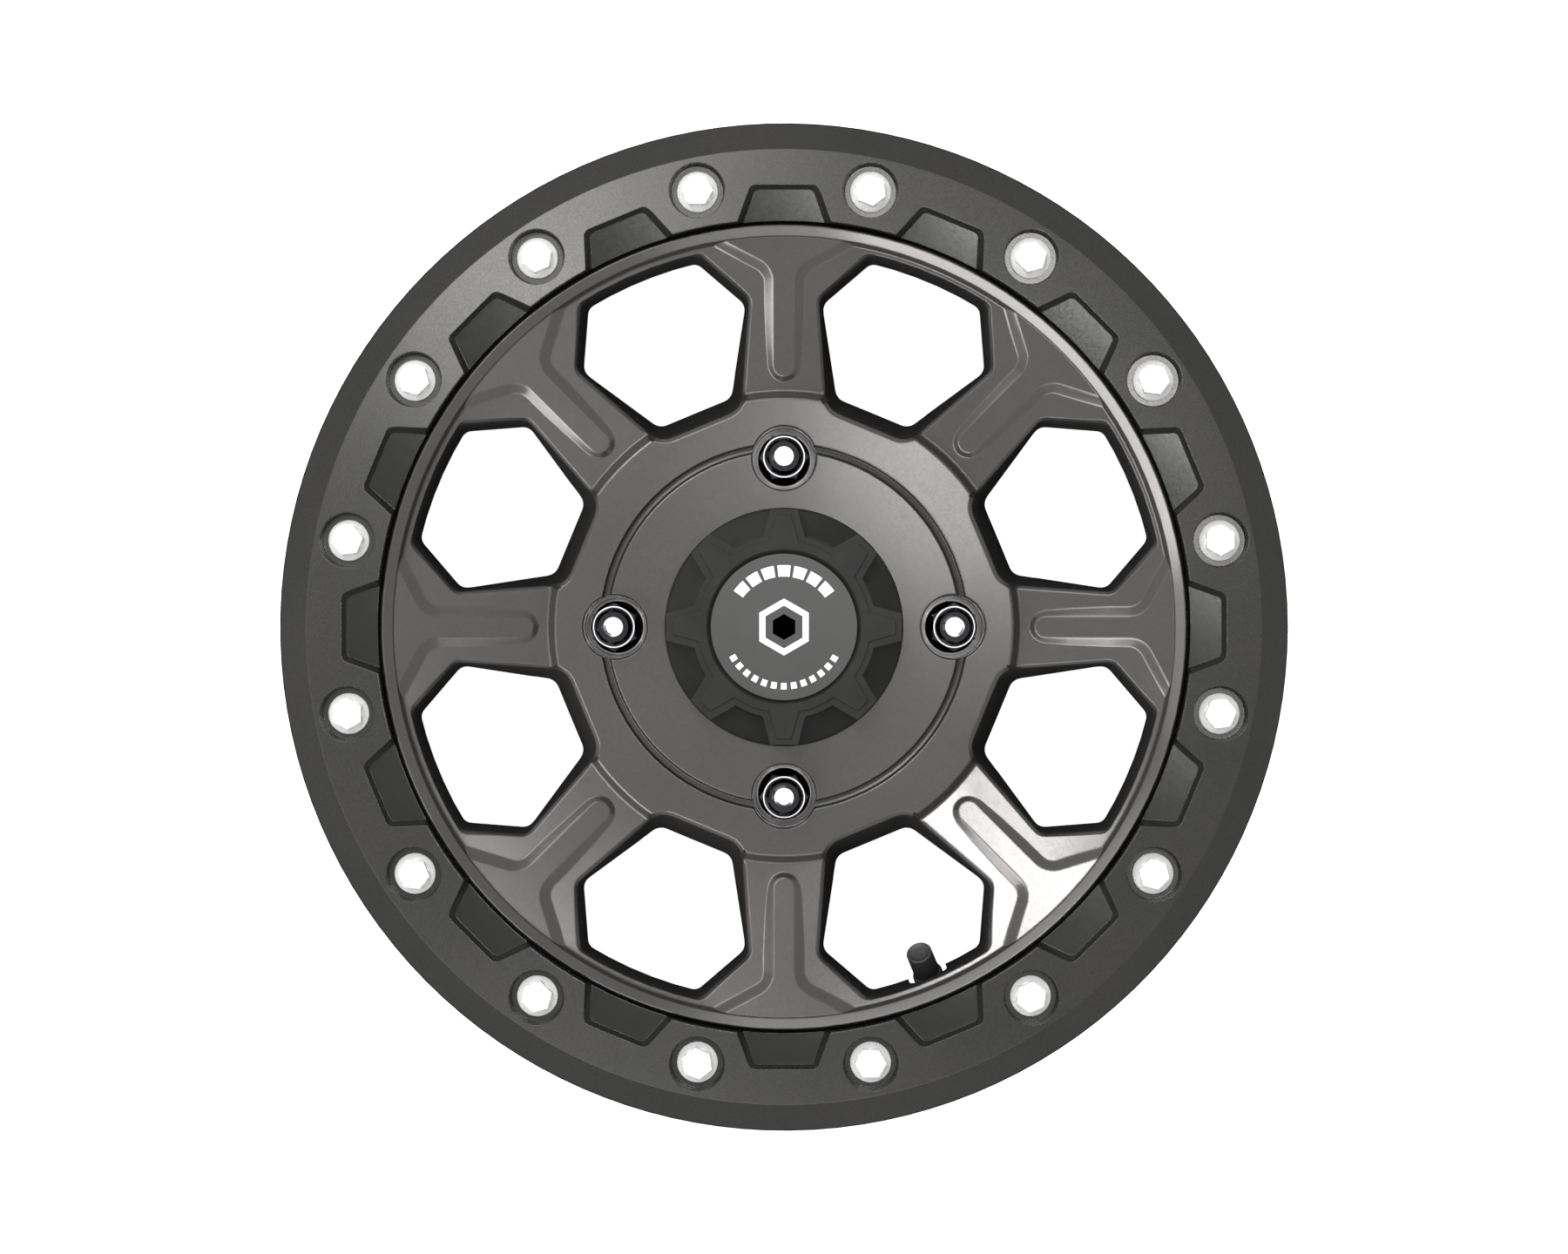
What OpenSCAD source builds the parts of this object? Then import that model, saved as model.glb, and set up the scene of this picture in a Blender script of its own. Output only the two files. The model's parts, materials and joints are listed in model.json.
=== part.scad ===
// One-piece cast off-road wheel, 15 x 7 in, with a bolted bead clamp ring.
// It lies on its inboard flange, so +Z is the wheel's axis and points outboard.
// Azimuths run clockwise from +Y, as seen from the front. Lengths are millimetres.

/* [Rim] */
// Diameter of the bead seats
rim_d = 380.2; // [360:0.1:410]
// Width between the inboard flange and the clamp ring
rim_w = 177.8; // [170:0.1:215]
// Height of the flanges over the bead seat
flange_h = 12.9; // [11:0.1:18]
// Thickness of the inboard flange
flange_t = 7; // [5:0.5:9]
// Wall of the barrel
barrel_wall = 5; // [4:0.1:6.5]
// Depth of the drop centre below the bead seat
well_depth = 22.1; // [18:0.1:25]
// Flat length of the drop centre
well_w = 48; // [36:1:54]
// Distance from the clamp face back to the outboard edge of the drop centre
well_setback = 40.5; // [37:0.1:43]
// Width of the seat for the outboard bead
seat_w = 13; // [11:0.5:15]
// Height of the ridge that keeps the outboard bead on its seat
ridge_h = 3.4; // [2:0.1:4.5]

/* [Clamp ring] */
// Thickness of the ring at its inner edge
ring_t = 15.2; // [14:0.1:20]
// Fall of the ring's face from its inner edge to its shoulder
ring_fall = 3; // [1:0.1:4.5]
// Radial width of the sloping outer band
band_w = 11.4; // [8:0.1:14]
// Fall of the outer band
band_fall = 7; // [4:0.1:8]
// Metal between the bolt circle and the ring's inner edge
ring_margin = 15.4; // [15:0.1:18]
// Height of the ring's face over the clamped bead
bead_relief = 2.2; // [1.5:0.1:3]
// Running gap between the ring's bore and the wheel's pilot
pilot_gap = 0.3; // [0.1:0.05:0.4]

/* [Ring pockets] */
// Depth of each pocket at its outer wall
pocket_depth = 2.6; // [1.6:0.1:3.6]
// Further fall of the pocket's floor towards the ring's inner edge
pocket_fall = 1.4; // [0.4:0.1:2.4]
// Distance from the ring's inner edge to the pocket's outer wall
pocket_len = 14; // [12:0.1:15]
// Width of a pocket at its outer wall
pocket_outer_w = 26.5; // [20:0.5:28]
// Width of a pocket at the ring's inner edge
pocket_inner_w = 36.5; // [32:0.5:42]
// Width of a pocket's sloping walls
pocket_wall_w = 1.6; // [1:0.1:2]
// Radius of a pocket's corners
pocket_corner_r = 2.6; // [2.2:0.1:4]

/* [Ring bolts] */
// Number of ring bolts
bolt_n = 16; // [12:4:20]
// Distance of the bolt circle inside the bead seat
bolt_inset = 11.6; // [11:0.1:13]
// Thread size of the ring bolts
bolt_d = 8; // [6:1:8]
// Length of the bolts under the head
bolt_len = 20; // [18:1:24]
// Width of the bolt hexagons across flats
bolt_af = 11; // [10:0.5:12]
// Height of the bolt heads with their flange
bolt_head_h = 7; // [5.5:0.1:7.5]
// Diameter of the bolt flanges
bolt_flange_d = 16.4; // [15:0.1:17]
// Depth of the bolt counterbores below the ring's face at the bolt circle
bolt_sink = 8; // [7.6:0.1:9]
// Diameter of the bolt counterbores at the ring's face
bolt_cbore_d = 22.5; // [21.5:0.1:23.5]
// Outside diameter of the thread inserts
insert_d = 11; // [10.5:0.1:12]
// Length of the thread inserts
insert_len = 14; // [10:0.5:16]

/* [Hub] */
// Number of lug holes
lug_n = 4; // [4:4:8]
// Diameter of the lug circle
pcd = 137; // [130:1:156]
// Diameter of the rear bore that centres on the vehicle's hub
hub_bore_d = 110; // [96:0.5:112]
// Depth of that rear bore
hub_bore_len = 14; // [10:0.5:18]
// Height of the mounting face over the inboard edge
mount_z = 134; // [126:0.5:142]
// Thickness of the hub from the mounting face to the front face
hub_t = 48; // [42:0.5:50]
// Diameter of the mounting face
mount_d = 168; // [164:0.5:176]
// Metal between the lug circle and the hub's straight edges
hub_rim = 18.1; // [16:0.1:22]
// Diameter of the lug counterbores
lug_cbore_d = 25.9; // [25.5:0.1:27]
// Depth of the lug counterbores
lug_cbore_depth = 19; // [16:0.5:21]
// Diameter of the lug holes behind their seats
lug_hole_d = 14.5; // [13.5:0.1:15]
// Mid-line radius of the groove round the front face, beyond the lug circle
face_groove_out = 4.4; // [1:0.1:5]
// Width of that groove
face_groove_w = 3.6; // [1.5:0.1:4]
// Depth of that groove
face_groove_depth = 1.4; // [0.6:0.1:2]
// Depth of the hollows cast between the lug bosses, from behind
kidney_depth = 27; // [15:1:30]

/* [Lug nuts] */
// Thread size of the lug nuts
lug_thread_d = 12; // [10:1:12]
// Width of the lug nuts across flats
lug_af = 17; // [16:0.5:18]
// Length of a lug nut above its seat
lug_len = 36; // [32:0.5:38]
// Diameter of the lug nut's seat collar
lug_collar_d = 20.5; // [20:0.1:21]
// Height of that collar
lug_collar_h = 3.4; // [2:0.1:5]

/* [Spokes] */
// Number of spokes
spoke_n = 8; // [8:1:8]
// Width of a spoke's face where it leaves the hub
spoke_root_w = 32.2; // [28:0.2:34]
// Width of a spoke's face at its waist
spoke_waist_w = 25.4; // [23.4:0.2:28]
// Width of a spoke where it meets the rim
spoke_foot_w = 65.6; // [60:0.2:70]
// Distance from the windows' outer edge to the spoke's waist
waist_setback = 21; // [17:0.5:24]
// How far each side of a spoke flares towards the back at the hub
draft_root = 7; // [5:0.1:9]
// How far each side of a spoke flares towards the back at the waist
draft_waist = 3.3; // [2:0.1:5]
// How far the hub's straight edges flare towards the back
draft_hub = 9.5; // [7:0.1:11]
// Radius of the rounded front edges of the windows
edge_r = 2.5; // [1.5:0.1:2.8]
// Depth of those rounded edges
edge_depth = 3.2; // [2:0.1:4.5]
// Depth of the spokes from the ledge to the back at the rim
spoke_t = 32; // [28:0.5:34]
// Fall of the spokes' back from the rim to the hub
back_fall = 11; // [6:0.5:14]
// Width of the step between the hub's face and the spokes
hub_step_w = 3.9; // [3:0.1:5]
// Height of that step
hub_step_h = 4.5; // [3:0.1:5.5]
// Depth of the hollows cast into the spokes from behind
spoke_hollow_depth = 14; // [6:0.5:17]

/* [Rim lip and ribs] */
// Fall from the ring's inner edge to the wheel's lip
lip_drop = 3; // [1:0.1:5]
// Gap between the ring's inner edge and the wheel's lip
lip_gap = 1.8; // [0.6:0.1:2.4]
// Width of the lip's band
lip_w = 4.3; // [3:0.1:6]
// Fall of the lip's band towards the hub
lip_fall = 2.4; // [1:0.1:3.2]
// Width of the lip's inner wall, down to the ledges
lip_wall_w = 1.8; // [1:0.1:3]
// Width of the ledge between that wall and the windows
ledge_w = 1.4; // [1.2:0.1:3]
// Height of the lip over the ledges
lip_h = 6.2; // [5:0.1:8]
// Width of the Y ribs' stems at the top
stem_w = 8.3; // [6:0.1:10]
// Width of the Y ribs' sloping sides
rib_side_w = 4.4; // [3.4:0.1:5]
// Distance from the hub's step to the end of a stem
stem_start = 5.5; // [4:0.1:9]
// Radius of the bend from a stem into its arms
rib_bend_r = 10; // [8:0.1:12]
// Distance from the lip back to where the bends begin
rib_bend_setback = 18; // [15:0.1:22]
// Angle of the arms to the rim's tangent
rib_arm_deg = 27.5; // [24:0.5:32]
// Fall from the lip's inner edge to the Y ribs
rib_drop = 0.7; // [0.4:0.1:2]
// Height of a stem's end over the ledge
stem_end_h = 1.6; // [1:0.1:2.5]

/* [Hub cap] */
// Diameter of the cap's flange
cap_d = 96.6; // [92:0.2:98]
// Height of the cap over the hub's face
cap_h = 17; // [14:0.5:18]
// Diameter of the bore that the cap snaps into
cap_bore_d = 88; // [84:0.2:90]
// Wall of the cap
cap_wall = 2.4; // [2:0.1:3]
// Number of arms on the cap's face
cap_arm_n = 8; // [6:1:10]
// Width of an arm at its tip
cap_arm_tip_w = 11; // [8:0.2:12]
// Width of an arm at its root
cap_arm_root_w = 17; // [14:0.2:18]
// Radius of the valleys between the arms
cap_valley_r = 36.9; // [35:0.1:38]
// Width of the lower border round the cap's face
cap_border_w = 2.5; // [1:0.1:3]
// Step from that border up to the face
cap_border_step = 0.7; // [0.4:0.1:1]
// Diameter of the disc in the cap's face
cap_disc_d = 59; // [50:0.5:61]
// Width of the groove round that disc
cap_groove_w = 1.6; // [0.8:0.1:2]
// Thickness of that disc
cap_disc_t = 1.2; // [0.8:0.1:1.6]
// Wire size of the ring that spreads the cap's legs
clip_wire_d = 1.6; // [1.2:0.1:2]
// Number of snap legs
cap_leg_n = 6; // [4:1:8]

/* [Valve] */
// Azimuth of the valve
valve_az = 157.5; // [157.5:45:157.5]
// Distance of the valve hole up the slope of the drop centre
valve_up = 7; // [6.7:0.1:8]
// Diameter of the valve hole
valve_hole_d = 11.5; // [11:0.1:12]
// Metal left at the valve hole
valve_wall = 4; // [3:0.1:4.5]
// Length of the valve from its hole to the end of its cap
valve_len = 46; // [43:0.5:48]
// Diameter of the valve's cap
valve_cap_d = 10.6; // [9.5:0.1:11]
// Length of the valve's cap
valve_cap_len = 12; // [10:0.5:13]
// Diameter of the spot face round the valve
valve_spot_d = 16.4; // [15.4:0.1:18]
// Diameter of the valve's foot on the tyre side
valve_foot_d = 18.8; // [17:0.1:20]
// Thickness of that foot
valve_foot_t = 3.4; // [2.5:0.1:4]
// Diameter of the rubber collar under the valve's cap
valve_collar_d = 12.4; // [11.5:0.1:13]

/* [Fits] */
// Gap between a bolt's shank and its thread insert
thread_gap = 0.05; // [0.02:0.01:0.1]
// Gap between a pressed or snapped piece and its seat
seat_gap = 0.05; // [0.02:0.01:0.1]

/* [Hidden] */
$fn = 96;

// Paint and metal colours
paint = [0.33, 0.33, 0.32];
ring_paint = [0.27, 0.27, 0.26];
zinc = [0.85, 0.86, 0.87];
black_chrome = [0.12, 0.12, 0.13];
black_plastic = [0.16, 0.16, 0.16];
rubber_black = [0.08, 0.08, 0.08];
brass = [0.72, 0.58, 0.3];
steel = [0.6, 0.6, 0.62];

// Radii of the rim, from the bead seat inwards
seat_r = rim_d / 2;
flange_r = seat_r + flange_h;
well_r = seat_r - well_depth;
bolt_r = seat_r - bolt_inset;
ring_in_r = bolt_r - ring_margin;
lip_out_r = ring_in_r - lip_gap;
lip_in_r = lip_out_r - lip_w;
lip_foot_r = lip_in_r - lip_wall_w;
window_r = lip_foot_r - ledge_w;
band_in_r = flange_r - band_w;

// Radii of the hub
lug_r = pcd / 2;
hub_chord_r = lug_r + hub_rim;
hub_pad_r = hub_chord_r + 5.8;
spoke_start_r = hub_pad_r + hub_step_w;
groove_r = lug_r + face_groove_out;
waist_r = window_r - waist_setback;

// Heights
clamp_z = flange_t + rim_w;
ring_top_z = clamp_z + ring_t;
lip_z = ring_top_z - lip_drop;
ledge_z = lip_z - lip_h;
lip_in_z = lip_z - lip_fall;
rib_top_z = lip_in_z - rib_drop;
hub_z = mount_z + hub_t;
root_z = hub_z - hub_step_h;
back_z = ledge_z - spoke_t;
hub_back_z = back_z - back_fall;
well_top_z = clamp_z - well_setback;
slope_top_z = well_top_z + well_depth;
function ring_face_at(r) = ring_top_z - ring_fall * (r - ring_in_r) / (band_in_r - ring_in_r);
bolt_face_z = ring_face_at(bolt_r);
bolt_seat_z = bolt_face_z - bolt_sink;
lug_floor_z = hub_z - lug_cbore_depth;

// A 60 degree seat, as on most lug nuts
seat_half_angle = 30;
lug_seat_in_r = lug_collar_d / 2 + 0.35;
lug_cone_h = (lug_seat_in_r - lug_hole_d / 2) / tan(seat_half_angle);

// Angles between repeated pieces
spoke_step = 360 / spoke_n;
bolt_step = 360 / bolt_n;
lug_step = 360 / lug_n;
half_spoke = spoke_step / 2;
hex_turn = 18.75;

// A smooth step from 0 to 1, and a point between two others
function ease(t) = t * t * (3 - 2 * t);
function clamp01(t) = min(1, max(0, t));
function blend(a, b, t) = a + (b - a) * t;

// Height of the ledges at radius r, and of the ribs' flat tops at distance y along a spoke
function ledge_at(r) = blend(root_z, ledge_z, (r - spoke_start_r) / (lip_foot_r - spoke_start_r));
function base_at(r) = r < spoke_start_r
    ? blend(hub_z, root_z, ease(clamp01((r - hub_pad_r) / hub_step_w)))
    : ledge_at(r);
stem_end_y = spoke_start_r + stem_start;
rib_end_z = ledge_at(stem_end_y) + stem_end_h;
function rib_at(y) = blend(rib_end_z, rib_top_z, (y - stem_end_y) / (lip_in_r - stem_end_y));
function back_at(r) = blend(hub_back_z, back_z, (r - hub_chord_r) / (window_r - hub_chord_r));

// Points on an arc, and a polygon whose corners have their own radii
function arc(c, r, a0, a1, n) =
    [for (i = [0:n]) c + r * [cos(blend(a0, a1, i / n)), sin(blend(a0, a1, i / n))]];
function unit(v) = v / norm(v);
function short_turn(a) = a > 180 ? a - 360 : a < -180 ? a + 360 : a;
function corner(p, q, s, r, n) = r == 0
    ? [q]
    : let (
        u = unit(p - q),
        v = unit(s - q),
        half = acos(u * v) / 2,
        c = q + unit(u + v) * r / sin(half),
        a = q + u * r / tan(half) - c,
        b = q + v * r / tan(half) - c,
        a0 = atan2(a.y, a.x),
        turn = short_turn(atan2(b.y, b.x) - a0)
    ) arc(c, r, a0, a0 + turn, n);
function rounded(pts, radii, n) =
    let (m = len(pts))
    [for (i = [0:m - 1]) each corner(pts[(i + m - 1) % m], pts[i], pts[(i + 1) % m], radii[i], n)];

// A solid through a stack of rings with equal, even numbers of points, all counterclockwise.
// Its ends are ladders of faces from point to mirrored point, so forked outlines close too.
module loft(rings) {
    n = len(rings[0]);
    m = len(rings);
    sides = [
        for (i = [0:m - 2], j = [0:n - 1])
            let (a = i * n + j, b = i * n + (j + 1) % n)
            each [[a, a + n, b + n], [a, b + n, b]]
    ];
    ends = [for (j = [0:n / 2 - 2]) [j, j + 1, n - 2 - j, n - 1 - j]];
    top = (m - 1) * n;
    top_ends = [for (e = ends) [top + e[3], top + e[2], top + e[1], top + e[0]]];
    polyhedron(points = [for (r = rings) each r], faces = concat(ends, top_ends, sides));
}

module at_azimuth(a) {
    rotate([0, 0, -a]) children();
}

// Turns a point of a spoke's frame into the frame of the window beside it
function to_window(p) =
    [p.x * cos(half_spoke) - p.y * sin(half_spoke), p.x * sin(half_spoke) + p.y * cos(half_spoke)];

// Window outline: hub edge at distance hub_y, spoke sides moved by the flares, outer edge an arc.
// Points at side_shares along each spoke let the edge follow the step beside the hub.
side_shares = [0.155, 0.187, 0.225];
function window_outline(hub_y, root_x, waist_x, foot_x, outer_r, corner_r) =
    let (
        waist = to_window([waist_x, waist_r]),
        foot_y = sqrt(outer_r * outer_r - foot_x * foot_x),
        foot = to_window([foot_x, foot_y]),
        root_on_side = to_window([root_x, hub_chord_r + 1]),
        t = (hub_y - root_on_side.y) / (waist.y - root_on_side.y),
        root = blend(root_on_side, waist, t),
        foot_a = atan2(foot.y, foot.x),
        outer = arc([0, 0], outer_r, 180 - foot_a, foot_a, 5),
        side = concat([root], [for (k = side_shares) blend(root, waist, k)], [waist, foot]),
        zeros = [for (k = side_shares) 0]
    )
    rounded(
        concat(
            [for (p = side) [-p.x, p.y]],
            [for (i = [1:4]) outer[i]],
            [for (i = [len(side) - 1:-1:0]) side[i]]
        ),
        concat([corner_r[0]], zeros, [corner_r[1], corner_r[2], 0, 0, 0, 0], [corner_r[2], corner_r[1]], zeros, [corner_r[0]]),
        4
    );

window_back = window_outline(
    hub_chord_r + draft_hub,
    spoke_root_w / 2 + draft_root,
    spoke_waist_w / 2 + draft_waist,
    spoke_foot_w / 2 + draft_waist - 0.2,
    window_r,
    [5.5, 5, 4.5]
);
window_wall = window_outline(
    hub_chord_r + edge_r,
    spoke_root_w / 2 + edge_r * 0.8,
    spoke_waist_w / 2 + edge_r * 0.8,
    spoke_foot_w / 2 + edge_r * 0.8,
    window_r,
    [8, 5.5, 5]
);
window_front = window_outline(
    hub_chord_r,
    spoke_root_w / 2,
    spoke_waist_w / 2,
    spoke_foot_w / 2,
    window_r + ledge_w * 0.4,
    [9.5, 6, 5]
);

function ring_at(outline, lift) = [for (p = outline) [p.x, p.y, base_at(norm(p)) + lift]];
function ring_flat(outline, z) = [for (p = outline) [p.x, p.y, z]];
function between(a, b, t) = [for (i = [0:len(a) - 1]) blend(a[i], b[i], t)];

// The rounded edge turns by edge_turn degrees, then runs straight on past the face.
// Behind it the walls run straight from the edge to the back.
edge_turn = 62;
edge_past = 0.8;
function edge_ring(g) =
    ring_at(
        between(window_wall, window_front, (1 - cos(g)) / (1 - cos(edge_turn))),
        -edge_depth * (1 - sin(g) / sin(edge_turn))
    );

module window_cut() {
    past = between(window_wall, window_front, 1.45);
    loft([
        ring_flat(window_back, hub_back_z - 12),
        [for (p = window_back) [p.x, p.y, back_at(norm(p)) - 1]],
        edge_ring(0),
        edge_ring(34),
        ring_at(past, edge_past),
        ring_flat(past, ring_top_z + 5)
    ]);
}

// One Y rib. Rings of growing offset o run down its soft sides from the flat top.
rib_reach_r = lip_in_r + 1.5;
function side_w_at(y) = rib_side_w * blend(0.55, 1, clamp01((y - stem_end_y) / 22));
function rib_half(o) =
    let (
        a = stem_w / 2,
        end_y = stem_end_y + a,
        bend_y = lip_in_r - rib_bend_setback,
        turn = 90 - rib_arm_deg,
        c = [a + rib_bend_r, bend_y],
        end_arc = [for (g = [-75:15:-15]) [0, end_y] + (a + o * side_w_at(end_y - a)) * [cos(g), sin(g)]],
        stem = [for (t = [0, 0.3, 0.75]) let (y = blend(end_y, bend_y, t)) [a + o * side_w_at(y), y]],
        bend = arc(c, rib_bend_r - o * rib_side_w, 180, 180 - turn, 5),
        e = bend[5],
        d = [cos(rib_arm_deg), sin(rib_arm_deg)],
        ed = e * d,
        s = -ed + sqrt(ed * ed - e * e + rib_reach_r * rib_reach_r),
        tip = e + d * s,
        tip_a = atan2(tip.y, tip.x),
        outer = arc([0, 0], rib_reach_r, tip_a, 90, 4)
    )
    concat(end_arc, stem, bend, [for (i = [0:3]) outer[i]]);
function rib_outline(o) =
    let (right = rib_half(o), n = len(right), a = stem_w / 2)
    concat(
        [[0, stem_end_y - o * side_w_at(stem_end_y)]],
        right,
        [[0, rib_reach_r]],
        [for (i = [n - 1:-1:0]) [-right[i].x, right[i].y]]
    );
function rib_ring(o, share) = [
    for (p = rib_outline(o))
        let (low = base_at(norm(p)))
        [p.x, p.y, blend(low, max(rib_at(p.y), low + 0.2), share)]
];

module y_rib() {
    loft([
        ring_flat(rib_outline(1), back_z + 8),
        [for (p = rib_ring(1, 0)) p - [0, 0, 0.15]],
        rib_ring(0.8, 0.1),
        rib_ring(0.22, 0.8),
        [for (p = rib_outline(0)) [p.x, p.y, rib_at(p.y)]]
    ]);
}

// A hollow cast into the back of each spoke, narrowing towards the front
module spoke_hollow() {
    in_y = hub_chord_r + 16;
    out_y = window_r - 10;
    in_w = spoke_root_w / 2 + draft_root - 9.5;
    out_w = spoke_waist_w / 2 + draft_waist - 7.2;
    mouth = rounded([[out_w, in_y], [out_w, out_y], [-out_w, out_y], [-out_w, in_y]], [4, 4, 4, 4], 3);
    deep = rounded(
        [[out_w - 2, in_y + 3], [out_w - 2, out_y - 3], [2 - out_w, out_y - 3], [2 - out_w, in_y + 3]],
        [2.5, 2.5, 2.5, 2.5],
        3
    );
    loft([
        ring_flat(mouth, hub_back_z - 8),
        [for (p = mouth) [p.x, p.y, back_at(p.y) - 1]],
        [for (p = deep) [p.x, p.y, back_at(p.y) + spoke_hollow_depth]]
    ]);
}

// Section of the casting, from the rear bore out along the back and home along the front
mount_r = mount_d / 2;
hub_bore_r = hub_bore_d / 2;
cap_bore_r = cap_bore_d / 2;
bore_step_z = mount_z + hub_bore_len;
well_low_z = well_top_z - well_w;
shelf_r = seat_r - 3;
well_slope = 23;
hump_h = 1.1;
inner_r = well_r - barrel_wall;
pilot_r = ring_in_r - pilot_gap;
pilot_h = 5;
clip_groove_z = hub_z - 14;
clip_groove_h = 3;
clip_groove_depth = 1.6;

function s_step(p, q, n) = [for (i = [1:n - 1]) [blend(p.x, q.x, i / n), blend(p.y, q.y, ease(i / n))]];

casting_section = concat(
    // mounting face, hub skirt and the back of the disc
    [[hub_bore_r, mount_z], [mount_r - 2, mount_z], [mount_r, mount_z + 2]],
    [[mount_r, hub_back_z - 5], [mount_r + 2, hub_back_z - 1.5], [hub_chord_r + 2, back_at(hub_chord_r + 2)]],
    [[inner_r - 5, back_at(inner_r - 5)]],
    // inside of the barrel
    [[inner_r - 1.5, back_at(inner_r) - 1.5], [inner_r, back_at(inner_r) - 5]],
    [[inner_r, well_low_z + 1], [shelf_r - barrel_wall, well_low_z - well_slope + 1]],
    [[shelf_r - barrel_wall + 1.5, 0]],
    // inboard flange
    [[flange_r - 2, 0], [flange_r - 0.6, 0.6], [flange_r, 2], [flange_r, flange_t - 2]],
    [[flange_r - 0.6, flange_t - 0.6], [flange_r - 2, flange_t], [seat_r + 4, flange_t]],
    [[seat_r + 1.2, flange_t + 1.2], [seat_r, flange_t + 4]],
    // inboard seat, hump, shelf and drop centre
    [[seat_r - 1.4, flange_t + 19], [seat_r - 1.4 + hump_h, flange_t + 22], [shelf_r, flange_t + 26]],
    [[shelf_r, well_low_z - well_slope], [well_r, well_low_z], [well_r, well_top_z]],
    // slope with the valve hole, ridge and outboard seat
    [[seat_r, slope_top_z], [seat_r + ridge_h, clamp_z - seat_w - 3.4]],
    [[seat_r + ridge_h, clamp_z - seat_w - 1.6], [seat_r, clamp_z - seat_w]],
    [[seat_r, clamp_z - 1.5], [seat_r - 1.5, clamp_z]],
    // seat of the ring, pilot and lip
    [[pilot_r, clamp_z], [pilot_r, clamp_z + pilot_h], [lip_out_r, clamp_z + pilot_h + 1]],
    [[lip_out_r, lip_z - 0.4], [lip_out_r - 0.4, lip_z], [lip_in_r + 0.3, lip_in_z + 0.1]],
    [for (g = [0:15:75]) [lip_foot_r + lip_wall_w * cos(g), ledge_z + (lip_in_z - 0.2 - ledge_z) * (1 - sin(g))]],
    // ledge level of the spokes, step up to the hub's face
    [[lip_foot_r, ledge_z], [spoke_start_r, root_z]],
    s_step([spoke_start_r, root_z], [hub_pad_r, hub_z], 6),
    [[hub_pad_r, hub_z]],
    // groove round the face
    [for (g = [0:30:180]) [groove_r + face_groove_w / 2 * cos(g), hub_z - face_groove_depth * sin(g)]],
    // cap bore with its snap groove
    [[cap_bore_r + 1, hub_z], [cap_bore_r, hub_z - 1], [cap_bore_r, clip_groove_z + clip_groove_h]],
    [[cap_bore_r + clip_groove_depth, clip_groove_z + clip_groove_h - 0.8]],
    [[cap_bore_r + clip_groove_depth, clip_groove_z + 0.8], [cap_bore_r, clip_groove_z]],
    [[cap_bore_r, bore_step_z], [hub_bore_r, bore_step_z]]
);

insert_hole_depth = bolt_len - (bolt_seat_z - clamp_z) + 2.5;
kidney_in_r = hub_bore_r + 6;
kidney_out_r = mount_r - 5;
kidney_deg = lug_step - 36;

module kidney_hollow() {
    rotate([0, 0, 90 - kidney_deg / 2])
        rotate_extrude(angle = kidney_deg)
            polygon([
                [kidney_in_r, mount_z - 1],
                [kidney_out_r, mount_z - 1],
                [kidney_out_r - 2, mount_z + kidney_depth],
                [kidney_in_r + 2, mount_z + kidney_depth]
            ]);
}

// Places things on the valve's axis: +Z runs from the tyre side of its hole to its tip
valve_tilt = 45;
module on_valve_axis() {
    at_azimuth(valve_az)
        translate([0, well_r + valve_up, well_top_z + valve_up])
            rotate([valve_tilt, 0, 0])
                children();
}

lug_hole_r = lug_hole_d / 2;
lug_cbore_r = lug_cbore_d / 2;

module lug_hole() {
    translate([0, lug_r, 0])
        rotate_extrude()
            polygon([
                [0, mount_z - 1],
                [lug_hole_r, mount_z - 1],
                [lug_hole_r, lug_floor_z - lug_cone_h],
                [lug_seat_in_r, lug_floor_z],
                [lug_cbore_r, lug_floor_z],
                [lug_cbore_r, hub_z - 0.5],
                [lug_cbore_r + 1, hub_z + 0.5],
                [lug_cbore_r + 1, hub_z + 5],
                [0, hub_z + 5]
            ]);
}

module wheel() {
    color(paint)
        difference() {
            union() {
                rotate_extrude() polygon(casting_section);
                for (i = [0:spoke_n - 1]) at_azimuth(i * spoke_step) y_rib();
            }
            for (i = [0:spoke_n - 1]) at_azimuth((i + 0.5) * spoke_step) window_cut();
            for (i = [0:spoke_n - 1]) at_azimuth(i * spoke_step) spoke_hollow();
            for (i = [0:lug_n - 1]) at_azimuth(i * lug_step) lug_hole();
            for (i = [0:lug_n - 1]) at_azimuth((i + 0.5) * lug_step) kidney_hollow();
            for (i = [0:bolt_n - 1]) at_azimuth((i + 0.5) * bolt_step)
                translate([0, bolt_r, clamp_z - insert_hole_depth])
                    cylinder(d = insert_d + 2 * seat_gap, h = insert_hole_depth + 1);
            on_valve_axis() {
                translate([0, 0, -3]) cylinder(d = valve_hole_d, h = valve_wall + 4);
                translate([0, 0, valve_wall]) cylinder(d = valve_spot_d, h = valve_len);
                translate([-valve_spot_d / 2, -valve_spot_d, valve_wall + 10])
                    cube([valve_spot_d, valve_spot_d, valve_len - valve_wall - 10]);
            }
        }
}

// Ring that clamps the outboard bead
pocket_out_r = ring_in_r + pocket_len;
pocket_in_r = ring_in_r - 4;
function pocket_outline(grow) =
    let (
        out_y = pocket_out_r + grow,
        a = pocket_outer_w / 2 + grow,
        b = a + (pocket_inner_w - pocket_outer_w) / 2 * (out_y - pocket_in_r) / pocket_len
    )
    rounded(
        [[b, pocket_in_r], [a, out_y], [-a, out_y], [-b, pocket_in_r]],
        [0, pocket_corner_r, pocket_corner_r, 0],
        4
    );
function pocket_floor_at(y) =
    ring_face_at(pocket_out_r) - pocket_depth - pocket_fall * (pocket_out_r - y) / pocket_len;

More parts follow.
